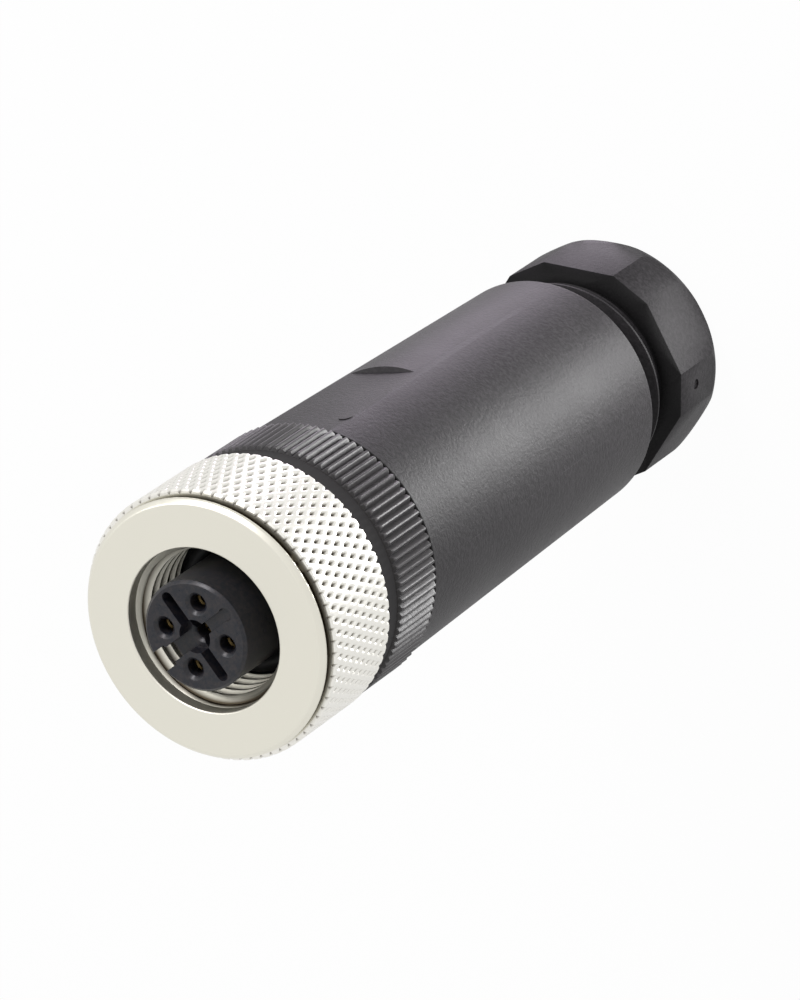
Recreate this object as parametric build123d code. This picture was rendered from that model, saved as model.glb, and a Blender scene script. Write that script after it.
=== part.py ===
from build123d import *
import os
from math import cos, radians, sin, sqrt

os.makedirs("parts", exist_ok=True)

# A straight five-pole M12 socket connector that is wired by hand. It stands on the rear face of
# its gland nut: Z runs along the axis, from that face at 0 up to the mating face, and +X points
# to the keyway in the contact nose. All sizes are millimetres and all angles are degrees.

# Lengths along the axis
nose_stand_out = 1.1
gland_head_length = 7.0
gland_gap = 4.85
gland_home_gap = 0.45
housing_length = 34.15
collar_gap = 0.1
collar_ribbed_length = 5.0
collar_flange_length = 1.45
nut_gap = 0.35
nut_length = 8.5

# Fits and clearances
running_clearance = 0.08
rotor_clearance = 0.15
seat_clearance = 0.05
thread_clearance = 0.06
pocket_clearance = 0.05
block_clearance = 0.1
seal_squeeze_room = 0.04
cut_margin = 1.0

# Socket contacts, for pins of 1 mm on a circle of 5 mm
contact_circle_radius = 2.5
contact_first_angle = 45
socket_radius = 0.5
socket_depth = 5.0
finger_thickness = 0.22
finger_slot_width = 0.16
finger_root_length = 0.6
sleeve_wall = 0.12
sleeve_length = 3.4
sleeve_room = 0.06
shoulder_gap = 0.2
shoulder_length = 0.6
stem_radius = 0.8
stem_overlap = 1.0

# Contact nose
nose_wall = 0.75
nose_edge = 0.22
nose_seat_step = 0.1
nose_shoulder_step = 0.55
nose_seal_section = 1.2
nose_shoulder_length = 4.1
entry_step = 0.12
entry_countersink = 0.26
entry_length = 1.25
keyway_width = 1.6
keyway_depth = 1.4
key_recess_width = 1.2
pit_wall = 0.37
pit_depth = 1.1
arm_width = 0.85
arm_end_wall = 0.425
deep_arm_depth = 1.9
shallow_arm_depth = 0.35
gate_mark_radius = 0.5

# Coupling nut, an M12 thread on a pitch of 1
plug_shell_room = 1.31
thread_depth = 0.54
mouth_step = 0.24
mouth_chamfer = 0.16
counterbore_length = 1.0
knurl_stand_out = 0.13
knurl_chamfer = 0.3
rim_step = 0.41
rim_edge = 0.32
rim_length = 0.55
rim_groove_width = 0.4
rim_groove_depth = 0.35
nut_tail_wall = 1.62
nut_tail_length = 1.7
nut_flange_length = 2.2

# Retaining ring and its room in the nut
ring_thickness = 0.8
ring_depth_in_neck = 0.45
ring_opening = 34
ring_room_depth = 0.7
ring_room_end_gap = 0.1

# Grip collar, which carries the contacts and screws into the housing
neck_step = 0.5
neck_wall = 1.05
neck_front_lip = 0.5
neck_lip_length = 0.8
collar_recess_clearance = 0.2
collar_front_wall = 0.75
flange_flare = 0.47
rib_stand_out = 0.38
rib_depth = 0.48
rib_count = 100
rib_crest_share = 0.24
rib_end_chamfer = 0.5
collar_thread_length = 3.0
collar_thread_wall = 1.2
collar_seal_section = 0.65
seal_groove_offset = 0.3

# Terminal block
block_length = 12.0
post_wall = 0.9
post_floor = 0.25
access_radius = 1.05

# Screw terminals and the leaves under the screws' tips
terminal_screw_depth = 2.05
terminal_inner_step = 0.6
terminal_inner_wall = 0.65
terminal_width = 2.5
terminal_length = 3.9
centre_terminal_side = 3.3
wire_hole_radius = 0.75
wire_hole_depth = 3.4
screw_shank_radius = 0.7
screw_head_radius = 0.95
screw_head_height = 0.8
screw_slot_width = 0.3
screw_slot_depth = 0.4
guard_thickness = 0.2
guard_width = 1.1
guard_lift = 0.2
guard_tab_height = 1.0
guard_length = 2.9

# Housing
housing_step = 0.23
housing_taper = 0.63
housing_front_wall = 1.41
housing_rear_wall = 1.08
housing_front_edge = 0.25
housing_rear_edge = 0.35
thread_run_out = 0.4
wiring_room = 0.6
throat_length = 0.8
cone_length = 1.5
cone_depth = 2.0
flat_depth = 0.64
flat_length = 13.0
flat_angle = 61

# Cable gland, an M16 thread on a pitch of 1.5
spigot_engagement = 3.6
spigot_wall = 2.8
head_step = 1.05
head_flat_half_angle = 19.2
head_flat_angle = 48.3
head_flat_count = 6
head_rear_round = 2.4
mouth_round = 0.7
thrust_ring_thickness = 0.8
basket_bore_step = 0.8
basket_room = 0.3
basket_ring_length = 1.0
finger_wall = 1.0
finger_length = 5.5
finger_count = 8
finger_gap = 1.1
finger_tip_chamfer = 0.5
gland_seal_wall = 1.75
gland_seal_length = 5.2
gland_seal_chamfer = 0.5
cable_clearance = 0.2

# Radii of the contacts and the nose, from the pins outwards
finger_radius = socket_radius + finger_thickness
chamber_radius = finger_radius + sleeve_wall + sleeve_room
entry_radius = socket_radius + entry_step
entry_wide_radius = entry_radius + entry_countersink
shoulder_radius = (contact_circle_radius - shoulder_gap) / 2
nose_radius = contact_circle_radius + chamber_radius + nose_wall
nose_seat_radius = nose_radius - nose_seat_step
nose_shoulder_radius = nose_seat_radius + nose_shoulder_step
keyway_inner_radius = nose_radius - keyway_depth
pit_radius = contact_circle_radius - entry_wide_radius - pit_wall
arm_reach = nose_radius - arm_end_wall - arm_width / 2

# Radii of the nut and the collar, from the thread outwards
thread_crest_radius = nose_radius + plug_shell_room
thread_root_radius = thread_crest_radius + thread_depth
mouth_radius = thread_root_radius + mouth_step
neck_radius = thread_root_radius + neck_step
block_cup_radius = neck_radius - neck_wall - seat_clearance
ring_groove_floor = neck_radius - ring_depth_in_neck
ring_room_radius = neck_radius + ring_room_depth
ring_outer_radius = ring_room_radius - rotor_clearance
nut_tail_radius = neck_radius + running_clearance + nut_tail_wall
recess_radius = nut_tail_radius + collar_recess_clearance
flange_front_radius = recess_radius + collar_front_wall
flange_radius = flange_front_radius + flange_flare
rib_crest_radius = flange_radius + rib_stand_out
rib_root_radius = rib_crest_radius - rib_depth
knurl_radius = rib_crest_radius + knurl_stand_out
rim_radius = knurl_radius - rim_step
nut_face_radius = rim_radius - rim_edge

# Radii of the housing and what it holds, from the outside inwards
housing_front_radius = rib_crest_radius - housing_step
housing_rear_radius = housing_front_radius - housing_taper
collar_thread_radius = housing_front_radius - housing_front_wall - thread_clearance
collar_bore_radius = collar_thread_radius - collar_thread_wall
seal_groove_floor = collar_thread_radius - collar_seal_section - seat_clearance
block_radius = collar_bore_radius - block_clearance
cavity_radius = block_radius + wiring_room
terminal_outer_radius = block_radius - terminal_screw_depth
terminal_inner_radius = contact_circle_radius - terminal_inner_step
wire_hole_circle_radius = terminal_inner_radius + terminal_inner_wall + wire_hole_radius
centre_terminal_half = centre_terminal_side / 2
post_radius = (centre_terminal_half + pocket_clearance) * sqrt(2) + post_wall
gland_thread_radius = housing_rear_radius - housing_rear_wall - thread_clearance
head_corner_radius = gland_thread_radius + head_step
spigot_bore_radius = gland_thread_radius - spigot_wall
basket_bore_radius = gland_thread_radius - basket_bore_step
throat_radius = basket_bore_radius - cone_depth
basket_outer_radius = basket_bore_radius - basket_room
gland_seal_radius = basket_outer_radius - finger_wall - seat_clearance
gland_seal_bore_radius = gland_seal_radius - gland_seal_wall
cable_room_radius = gland_seal_bore_radius + cable_clearance

# Heights, from the rear face up to the nose
gland_travel = gland_gap - gland_home_gap
housing_rear = gland_head_length + gland_gap
housing_front = housing_rear + housing_length
collar_back = housing_front + collar_gap
rib_front = collar_back + collar_ribbed_length
collar_front = rib_front + collar_flange_length
nut_back = collar_front + nut_gap
face_height = nut_back + nut_length
nose_top = face_height + nose_stand_out
nut_tail_end = nut_back - nut_tail_length
recess_floor = nut_tail_end - rotor_clearance
nut_flange_front = nut_tail_end + nut_flange_length
ring_back = nut_flange_front + rotor_clearance
ring_front = ring_back + ring_thickness
neck_end = ring_front + seat_clearance + neck_front_lip
ring_room_top = neck_end + ring_room_end_gap
lip_back = neck_end - neck_lip_length
insert_back = lip_back - nose_shoulder_length
block_front = insert_back - seat_clearance
block_rear = block_front - block_length
terminal_front = block_rear + terminal_length + pocket_clearance
screw_height = block_rear + terminal_length / 2
post_rear = block_rear - terminal_length - pocket_clearance - post_floor
centre_terminal_front = post_rear + terminal_length + pocket_clearance
centre_screw_height = post_rear + terminal_length / 2
collar_thread_end = collar_back - collar_thread_length
housing_thread_end = housing_front - collar_thread_length - thread_run_out
spigot_end = housing_rear + spigot_engagement
thrust_back = spigot_end + seat_clearance
basket_back = thrust_back + thrust_ring_thickness + seat_clearance
finger_back = basket_back + basket_ring_length
basket_front = finger_back + finger_length
cone_start = basket_front + gland_travel + seat_clearance
cone_end = cone_start + cone_length
throat_end = cone_end + throat_length
thread_bore_end = spigot_end + gland_travel + seat_clearance


def turned(*outline):
    """A solid of revolution about Z from the corners (radius, height) of its outline."""
    corners = [(radius, 0, height) for radius, height in outline]
    return revolve(make_face(Polyline(*corners, close=True)), Axis.Z)


def rod(bottom, top, radius):
    """A round bar on the axis between two heights."""
    return Pos(0, 0, (bottom + top) / 2) * Cylinder(radius, top - bottom)


def tube(bottom, top, outer, inner):
    """A plain ring on the axis between two heights."""
    return rod(bottom, top, outer) - rod(bottom - cut_margin, top + cut_margin, inner)


def torus_ring(height, centre_radius, section_radius):
    """An O-ring round the axis."""
    return Pos(0, 0, height) * Torus(centre_radius, section_radius)


def block_between(x_from, x_to, width, bottom, top):
    """A rectangular bar that lies along X, centred on Y."""
    size_x = x_to - x_from
    middle = Pos((x_from + x_to) / 2, 0, (bottom + top) / 2)
    return middle * Box(size_x, width, top - bottom)


def slot_along_x(x_from, x_to, width, bottom, top):
    """A straight slot with a round end at x_to."""
    end = Pos(x_to, 0, 0) * rod(bottom, top, width / 2)
    return block_between(x_from, x_to, width, bottom, top) + end


def contact_places():
    """The angles of the four outer contacts."""
    return [contact_first_angle + 90 * number for number in range(4)]


def make_coupling_nut():
    """Knurled nut that turns on the collar's neck, held there by the retaining ring."""
    groove_top = face_height - rim_length
    groove_bottom = groove_top - rim_groove_width
    groove_radius = rim_radius - rim_groove_depth
    thread_start = face_height - counterbore_length
    bore_round_neck = neck_radius + running_clearance
    return turned(
        (mouth_radius, face_height),
        (nut_face_radius, face_height),
        (rim_radius, face_height - rim_edge),
        (rim_radius, groove_top),
        (groove_radius, groove_top),
        (groove_radius, groove_bottom),
        (knurl_radius - knurl_chamfer, groove_bottom),
        (knurl_radius, groove_bottom - knurl_chamfer),
        (knurl_radius, nut_back + knurl_chamfer),
        (knurl_radius - knurl_chamfer, nut_back),
        (nut_tail_radius, nut_back),
        (nut_tail_radius, nut_tail_end),
        (bore_round_neck, nut_tail_end),
        (bore_round_neck, nut_flange_front),
        (ring_room_radius, nut_flange_front),
        (ring_room_radius, ring_room_top),
        (thread_crest_radius, ring_room_top),
        (thread_crest_radius, thread_start),
        (thread_root_radius + mouth_chamfer, thread_start),
        (thread_root_radius + mouth_chamfer, face_height - mouth_chamfer / 2),
    )


def make_retaining_ring():
    """Open spring ring in the groove of the collar's neck."""
    ring = tube(ring_back, ring_front, ring_outer_radius, ring_groove_floor + seat_clearance)
    gap_width = 2 * ring_outer_radius * sin(radians(ring_opening / 2))
    gap = block_between(
        0, 2 * ring_outer_radius, gap_width, ring_back - cut_margin, ring_front + cut_margin
    )
    return ring - Rot(0, 0, 180) * gap


def ribbed_band():
    """Round band with straight ribs, bevelled where the ribs end."""
    pitch = 360 / rib_count
    crest_half = pitch * rib_crest_share / 2
    corners = []
    for number in range(rib_count):
        middle = number * pitch
        for turn, radius in (
            (-crest_half, rib_crest_radius),
            (crest_half, rib_crest_radius),
            (pitch / 2, rib_root_radius),
        ):
            angle = radians(middle + turn)
            corners.append((radius * cos(angle), radius * sin(angle)))
    prism = extrude(make_face(Polyline(*corners, close=True)), collar_ribbed_length)
    bevel_radius = rib_crest_radius - rib_end_chamfer
    envelope = turned(
        (0, collar_back),
        (rib_crest_radius + cut_margin, collar_back),
        (rib_crest_radius + cut_margin, rib_front - cut_margin - rib_end_chamfer),
        (bevel_radius, rib_front),
        (0, rib_front),
    )
    return (Pos(0, 0, collar_back) * prism) & envelope


def make_grip_collar():
    """Ribbed collar with the nut's neck in front and the housing's thread behind."""
    groove_top = collar_back - seal_groove_offset
    groove_bottom = groove_top - collar_seal_section - 2 * seal_squeeze_room
    outside = turned(
        (0, collar_thread_end),
        (collar_thread_radius, collar_thread_end),
        (collar_thread_radius, groove_bottom),
        (seal_groove_floor, groove_bottom),
        (seal_groove_floor, groove_top),
        (collar_thread_radius, groove_top),
        (collar_thread_radius, collar_back + seat_clearance),
        (rib_root_radius, collar_back + seat_clearance),
        (rib_root_radius, rib_front),
        (flange_radius, rib_front),
        (flange_front_radius, collar_front),
        (recess_radius, collar_front),
        (recess_radius, recess_floor),
        (neck_radius, recess_floor),
        (neck_radius, ring_back - seat_clearance),
        (ring_groove_floor, ring_back - seat_clearance),
        (ring_groove_floor, ring_front + seat_clearance),
        (neck_radius, ring_front + seat_clearance),
        (neck_radius, neck_end),
        (0, neck_end),
    )
    bore = (
        rod(lip_back - cut_margin, neck_end + cut_margin, nose_seat_radius + seat_clearance)
        + rod(insert_back, lip_back, block_cup_radius + seat_clearance)
        + rod(collar_thread_end - cut_margin, insert_back, collar_bore_radius)
    )
    return outside + ribbed_band() - bore


def make_nose_seal():
    """O-ring round the nose, where the mating part's end face lands."""
    section = nose_seal_section / 2
    centre_radius = nose_seat_radius + seal_squeeze_room + section
    return torus_ring(neck_end + seal_squeeze_room + section, centre_radius, section)


def make_contact_insert():
    """Contact nose with its keyway, its cross-shaped recess and five countersunk entries."""
    seat_top = neck_end + 2 * seal_squeeze_room + nose_seal_section
    barrel = turned(
        (0, insert_back),
        (nose_shoulder_radius, insert_back),
        (nose_shoulder_radius, lip_back - seat_clearance),
        (nose_seat_radius, lip_back - seat_clearance),
        (nose_seat_radius, seat_top),
        (nose_radius, seat_top),
        (nose_radius, nose_top - nose_edge),
        (nose_radius - nose_edge, nose_top),
        (0, nose_top),
    )
    above = nose_top + cut_margin
    cuts = [rod(nose_top - pit_depth, above, pit_radius)]
    for angle in (90, 270):
        arm = slot_along_x(0, arm_reach, arm_width, nose_top - deep_arm_depth, above)
        cuts.append(Rot(0, 0, angle) * arm)
    shallow = slot_along_x(0, arm_reach, arm_width, nose_top - shallow_arm_depth, above)
    mark = Pos(arm_reach, 0, 0) * rod(nose_top - shallow_arm_depth, above, gate_mark_radius)
    cuts.append(Rot(0, 0, 180) * (shallow + mark))
    outside = nose_radius + cut_margin
    cuts.append(block_between(0, outside, key_recess_width, nose_top - pit_depth, above))
    cuts.append(block_between(keyway_inner_radius, outside, keyway_width, neck_end, above))
    cuts.append(socket_chamber(nose_top - pit_depth))
    for angle in contact_places():
        place = Rot(0, 0, angle) * Pos(contact_circle_radius, 0, 0)
        cuts.append(place * socket_chamber(nose_top))
    return barrel - cuts


def socket_chamber(surface):
    """Hollow for one contact: a countersunk entry and, behind its lip, the contact's room."""
    return turned(
        (0, insert_back - cut_margin),
        (chamber_radius, insert_back - cut_margin),
        (chamber_radius, surface - entry_length),
        (entry_radius, surface - entry_length),
        (entry_radius, surface - entry_countersink),
        (entry_wide_radius, surface),
        (entry_wide_radius, surface + cut_margin / 4),
        (0, surface + cut_margin / 4),
    )


def socket_tube(surface, stem_end):
    """Turned front of a contact: slotted fingers, a shoulder and a stem."""
    tip = surface - entry_length - seat_clearance
    lead_in = (finger_radius - socket_radius) / 2
    shoulder_top = insert_back - seat_clearance
    body = turned(
        (0, stem_end),
        (stem_radius, stem_end),
        (stem_radius, shoulder_top - shoulder_length),
        (shoulder_radius, shoulder_top - shoulder_length),
        (shoulder_radius, shoulder_top),
        (finger_radius, shoulder_top),
        (finger_radius, tip),
        (socket_radius + lead_in, tip),
        (socket_radius, tip - lead_in),
        (socket_radius, tip - socket_depth),
        (0, tip - socket_depth),
    )
    slot_bottom = tip - socket_depth + finger_root_length
    slot_reach = 2 * finger_radius
    slot = block_between(-slot_reach, slot_reach, finger_slot_width, slot_bottom, tip + cut_margin)
    return body - slot


def make_outer_contact():
    """One outer contact on +X, with its screw terminal behind."""
    front = Pos(contact_circle_radius, 0, 0) * socket_tube(nose_top, terminal_front - stem_overlap)
    terminal = block_between(
        terminal_inner_radius, terminal_outer_radius, terminal_width,
        block_rear, terminal_front - pocket_clearance,
    )
    wire_hole = Pos(wire_hole_circle_radius, 0, 0) * rod(
        block_rear - cut_margin, block_rear + wire_hole_depth, wire_hole_radius
    )
    screw_hole = radial_rod(
        wire_hole_circle_radius, terminal_outer_radius + cut_margin,
        screw_shank_radius + seat_clearance, screw_height,
    )
    return front + terminal - wire_hole - screw_hole


def make_centre_contact():
    """The middle contact, whose screw terminal sits behind the others."""
    front = socket_tube(nose_top - pit_depth, centre_terminal_front - stem_overlap)
    half = centre_terminal_half
    terminal = block_between(
        -half, half, centre_terminal_side, post_rear, centre_terminal_front - pocket_clearance
    )
    wire_hole = rod(post_rear - cut_margin, post_rear + wire_hole_depth, wire_hole_radius)
    screw_hole = radial_rod(0, half + cut_margin, screw_shank_radius + seat_clearance, centre_screw_height)
    return front + terminal - wire_hole - Rot(0, 0, 180) * screw_hole


def radial_rod(x_from, x_to, radius, height):
    """A round bar that lies along +X at a height."""
    middle = Pos((x_from + x_to) / 2, 0, height)
    return middle * Rot(0, 90, 0) * Cylinder(radius, x_to - x_from)


def spring_sleeve(surface):
    """Thin sleeve that closes the fingers of one contact."""
    top = surface - entry_length - 2 * seat_clearance
    inner = finger_radius
    return tube(top - sleeve_length, top, inner + sleeve_wall, inner)


def terminal_screw(seat, hole_place, height):
    """One slotted terminal screw on +X: its head rests at the radius seat, its tip on the leaf."""
    tip = hole_place + guard_lift + guard_thickness + seat_clearance
    shank = radial_rod(tip, seat + screw_head_height / 2, screw_shank_radius, height)
    head = radial_rod(seat, seat + screw_head_height, screw_head_radius, height)
    slot_bottom = seat + screw_head_height - screw_slot_depth
    slot = block_between(
        slot_bottom, slot_bottom + cut_margin, 2 * screw_head_radius + cut_margin,
        height - screw_slot_width / 2, height + screw_slot_width / 2,
    )
    return shank + head - slot


def wire_guard(hole_place, rear):
    """Leaf between a screw tip and the wire, hooked over the terminal's rear face."""
    low = hole_place + guard_lift
    leaf = block_between(low, low + guard_thickness, guard_width, rear, rear + guard_length)
    tab = block_between(
        low, low + guard_tab_height, guard_width,
        rear - seat_clearance - guard_thickness, rear - seat_clearance,
    )
    bridge = block_between(
        low, low + guard_thickness, guard_width, rear - seat_clearance - guard_thickness, rear,
    )
    return leaf + bridge + tab


def make_terminal_block():
    """Insulating block: a cup for the nose, a pocket for each terminal, a hole over each screw."""
    cup_bore_radius = nose_shoulder_radius + seat_clearance
    cup = tube(block_front, lip_back - seat_clearance, block_cup_radius, cup_bore_radius)
    body = rod(block_rear, block_front, block_radius) + cup + rod(post_rear, block_rear, post_radius)
    shoulder_room = shoulder_radius + pocket_clearance
    shoulder_bottom = insert_back - seat_clearance - shoulder_length - pocket_clearance
    stem_room = stem_radius + pocket_clearance
    half = centre_terminal_half + pocket_clearance
    below = post_rear - cut_margin
    cuts = [
        rod(shoulder_bottom, block_front + cut_margin, shoulder_room),
        rod(below, shoulder_bottom, stem_room),
        block_between(-half, half, 2 * half, below, centre_terminal_front),
    ]
    access = radial_rod(
        centre_terminal_half, post_radius + cut_margin, access_radius, centre_screw_height
    )
    cuts.append(Rot(0, 0, 180) * access)
    for angle in contact_places():
        place = Rot(0, 0, angle)
        off_axis = place * Pos(contact_circle_radius, 0, 0)
        cuts.append(off_axis * rod(shoulder_bottom, block_front + cut_margin, shoulder_room))
        cuts.append(off_axis * rod(terminal_front - cut_margin, shoulder_bottom, stem_room))
        pocket = block_between(
            terminal_inner_radius - pocket_clearance, terminal_outer_radius + pocket_clearance,
            terminal_width + 2 * pocket_clearance, block_rear - cut_margin / 2, terminal_front,
        )
        hole = radial_rod(terminal_outer_radius, block_radius + cut_margin, access_radius, screw_height)
        cuts.append(place * pocket)
        cuts.append(place * hole)
    return body - cuts


def make_collar_seal():
    """O-ring in the groove of the collar's thread."""
    section = collar_seal_section / 2
    height = collar_back - seal_groove_offset - seal_squeeze_room - section
    return torus_ring(height, seal_groove_floor + seal_squeeze_room + section, section)


def make_housing():
    """Tapered sleeve with two spanner flats, over the wiring room and the gland's bore."""
    front_bore = collar_thread_radius + thread_clearance
    rear_bore = gland_thread_radius + thread_clearance
    outside = turned(
        (0, housing_rear),
        (housing_rear_radius - housing_rear_edge, housing_rear),
        (housing_rear_radius, housing_rear + housing_rear_edge),
        (housing_front_radius, housing_front - housing_front_edge),
        (housing_front_radius - housing_front_edge, housing_front),
        (0, housing_front),
    )
    inside = turned(
        (0, housing_rear - cut_margin),
        (rear_bore, housing_rear - cut_margin),
        (rear_bore, thread_bore_end),
        (basket_bore_radius, thread_bore_end),
        (basket_bore_radius, cone_start),
        (throat_radius, cone_end),
        (throat_radius, throat_end),
        (cavity_radius, throat_end),
        (cavity_radius, housing_thread_end),
        (front_bore, housing_thread_end),
        (front_bore, housing_front + cut_margin),
        (0, housing_front + cut_margin),
    )
    flat_rear = housing_front - flat_length
    flat_place = housing_front_radius - flat_depth
    cuts = [inside]
    for angle in (flat_angle, flat_angle + 180):
        flat = block_between(
            flat_place, housing_front_radius + cut_margin, 2 * housing_front_radius,
            flat_rear, housing_front + cut_margin,
        )
        cuts.append(Rot(0, 0, angle) * flat)
    return outside - cuts


def make_thrust_ring():
    """Washer that lets the gland nut turn on the basket."""
    return tube(
        thrust_back, thrust_back + thrust_ring_thickness, basket_outer_radius, cable_room_radius
    )


def make_clamp_basket():
    """Ring of fingers round the gland seal, which the housing's cone bends in on the cable."""
    inner = basket_outer_radius - finger_wall
    basket = turned(
        (cable_room_radius, basket_back),
        (basket_outer_radius, basket_back),
        (basket_outer_radius, basket_front - finger_tip_chamfer),
        (basket_outer_radius - finger_tip_chamfer, basket_front),
        (inner, basket_front),
        (inner, finger_back),
        (cable_room_radius, finger_back),
    )
    gaps = []
    for number in range(finger_count):
        gap = block_between(
            inner / 2, basket_outer_radius + cut_margin, finger_gap, finger_back, basket_front + cut_margin
        )
        gaps.append(Rot(0, 0, number * 360 / finger_count) * gap)
    return basket - gaps


def make_gland_seal():
    """Rubber sleeve that seals on the cable."""
    bottom = finger_back + seat_clearance
    sleeve = tube(bottom, bottom + gland_seal_length, gland_seal_radius, gland_seal_bore_radius)
    rims = sleeve.edges().filter_by(GeomType.CIRCLE).group_by(Axis.Z)
    return chamfer(rims[0] + rims[-1], gland_seal_chamfer)


def make_gland_nut():
    """Six-sided nut with cut corners, domed behind, on a threaded spigot."""
    corners = []
    for number in range(head_flat_count):
        middle = head_flat_angle + number * 360 / head_flat_count
        for turn in (-head_flat_half_angle, head_flat_half_angle):
            angle = radians(middle + turn)
            corners.append((head_corner_radius * cos(angle), head_corner_radius * sin(angle)))
    prism = extrude(make_face(Polyline(*corners, close=True)), gland_head_length)
    envelope = rod(0, gland_head_length + cut_margin, head_corner_radius)
    envelope = fillet(envelope.edges().sort_by(Axis.Z)[0], head_rear_round)
    head = prism & envelope
    spigot = rod(gland_head_length - cut_margin, spigot_end, gland_thread_radius)
    bore = turned(
        (0, -cut_margin),
        (cable_room_radius + mouth_round, -cut_margin),
        (cable_room_radius + mouth_round, 0),
        (cable_room_radius, mouth_round),
        (cable_room_radius, gland_head_length),
        (spigot_bore_radius, gland_head_length + spigot_bore_radius - cable_room_radius),
        (spigot_bore_radius, spigot_end + cut_margin),
        (0, spigot_end + cut_margin),
    )
    return head + spigot - bore


def screw_set():
    """All five terminal screws."""
    outer = terminal_screw(terminal_outer_radius + seat_clearance, wire_hole_circle_radius, screw_height)
    centre = terminal_screw(centre_terminal_half + seat_clearance, 0, centre_screw_height)
    return [Rot(0, 0, angle) * outer for angle in contact_places()] + [Rot(0, 0, 180) * centre]


def guard_set():
    """All five leaves, one under each screw."""
    outer = wire_guard(wire_hole_circle_radius, block_rear)
    centre = wire_guard(0, post_rear)
    return [Rot(0, 0, angle) * outer for angle in contact_places()] + [Rot(0, 0, 180) * centre]


def sleeve_set():
    """All five spring sleeves."""
    outer = Pos(contact_circle_radius, 0, 0) * spring_sleeve(nose_top)
    return [Rot(0, 0, angle) * outer for angle in contact_places()] + [spring_sleeve(nose_top - pit_depth)]


pieces = {
    "coupling_nut": make_coupling_nut(),
    "retaining_ring": make_retaining_ring(),
    "grip_collar": make_grip_collar(),
    "nose_seal": make_nose_seal(),
    "contact_insert": make_contact_insert(),
    "terminal_block": make_terminal_block(),
    "centre_contact": make_centre_contact(),
    "terminal_screws": Compound(children=screw_set()),
    "wire_guards": Compound(children=guard_set()),
    "contact_sleeves": Compound(children=sleeve_set()),
    "collar_seal": make_collar_seal(),
    "housing": make_housing(),
    "thrust_ring": make_thrust_ring(),
    "clamp_basket": make_clamp_basket(),
    "gland_seal": make_gland_seal(),
    "gland_nut": make_gland_nut(),
}
for number, angle in enumerate(contact_places(), start=1):
    pieces[f"outer_contact_{number}"] = Rot(0, 0, angle) * make_outer_contact()

for name, shape in pieces.items():
    export_step(shape, f"parts/{name}.step")
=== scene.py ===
"""Looks of a straight five-pole M12 socket connector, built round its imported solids."""
from contextlib import contextmanager
from math import ceil, cos, pi, radians, sin, tan
from typing import NamedTuple

import bmesh
import bpy
from mathutils import Matrix, Vector


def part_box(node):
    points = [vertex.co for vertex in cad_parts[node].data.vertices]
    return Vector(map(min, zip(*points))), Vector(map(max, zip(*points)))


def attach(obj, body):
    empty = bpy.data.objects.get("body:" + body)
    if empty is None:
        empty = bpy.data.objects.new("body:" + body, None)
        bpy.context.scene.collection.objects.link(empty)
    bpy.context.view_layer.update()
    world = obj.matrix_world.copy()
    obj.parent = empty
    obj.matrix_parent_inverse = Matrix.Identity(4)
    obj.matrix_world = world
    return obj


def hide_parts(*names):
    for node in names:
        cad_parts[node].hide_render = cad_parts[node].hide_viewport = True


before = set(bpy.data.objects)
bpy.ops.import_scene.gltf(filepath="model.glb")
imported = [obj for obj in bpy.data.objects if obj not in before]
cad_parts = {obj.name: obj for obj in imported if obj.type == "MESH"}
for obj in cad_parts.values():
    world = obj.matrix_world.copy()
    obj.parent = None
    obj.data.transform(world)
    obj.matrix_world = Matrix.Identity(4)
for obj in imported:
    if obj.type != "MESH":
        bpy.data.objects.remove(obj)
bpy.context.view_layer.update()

bl_info = {
    "name": "M12 Socket Connector",
    "version": (1, 0, 0),
    "blender": (4, 5, 0),
    "location": "3D Viewport > Sidebar > Connector",
    "description": "Builds the knurled nut, ribbed collar, sleeve, gland nut and contact nose",
    "category": "Object",
}

MM = 0.001
MERGE_DISTANCE = 0.001 * MM
# Edges that turn by more than this stay sharp in the shading.
SHARP_ANGLE = radians(32)
# A corner's curve takes up at most this share of each side.
CURVE_SHARE = 0.49
# Columns of faces round each turned shape. A knurl cell or rib has CELL_COLUMNS of its own, and
# the nut's and the collar's columns divide those of all their cells.
NUT_COLUMNS = 140
COLLAR_COLUMNS = 200
SLEEVE_COLUMNS = 192
SPIGOT_COLUMNS = 120
FLOOR_COLUMNS = 64
PIN_COLUMNS = 28
CELL_COLUMNS = 12
RIB_ROWS = 22
THREAD_ROWS = 16
# Added before a fraction is taken, so that it is never taken of a number below 0.
WHOLE_TURNS = 64
# A thread's shares of half a pitch: its crest's flat, what a bore's flat has more, and its flank.
CREST_FLAT = 0.125
BORE_FLAT_MORE = 0.125
FLANK = 0.625


def size(label, millimetres, description):
    """A length property whose default is given in millimetres."""
    return bpy.props.FloatProperty(
        name=label, description=description, default=millimetres * MM, unit="LENGTH", precision=5
    )


def share(label, value, description):
    """A plain number property from 0 to 1."""
    return bpy.props.FloatProperty(name=label, description=description, default=value, min=0, max=1)


def angle(label, degrees, description):
    """An angle property whose default is given in degrees."""
    return bpy.props.FloatProperty(
        name=label, description=description, default=radians(degrees), subtype="ANGLE"
    )


def count(label, value, description):
    """A whole number property."""
    return bpy.props.IntProperty(name=label, description=description, default=value, min=1)


def colour(label, red, green, blue, description):
    """A colour property."""
    return bpy.props.FloatVectorProperty(
        name=label, description=description, default=(red, green, blue), subtype="COLOR",
        size=3, min=0, max=1,
    )


def number(label, value, description):
    """A plain number property."""
    return bpy.props.FloatProperty(name=label, description=description, default=value)


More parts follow.
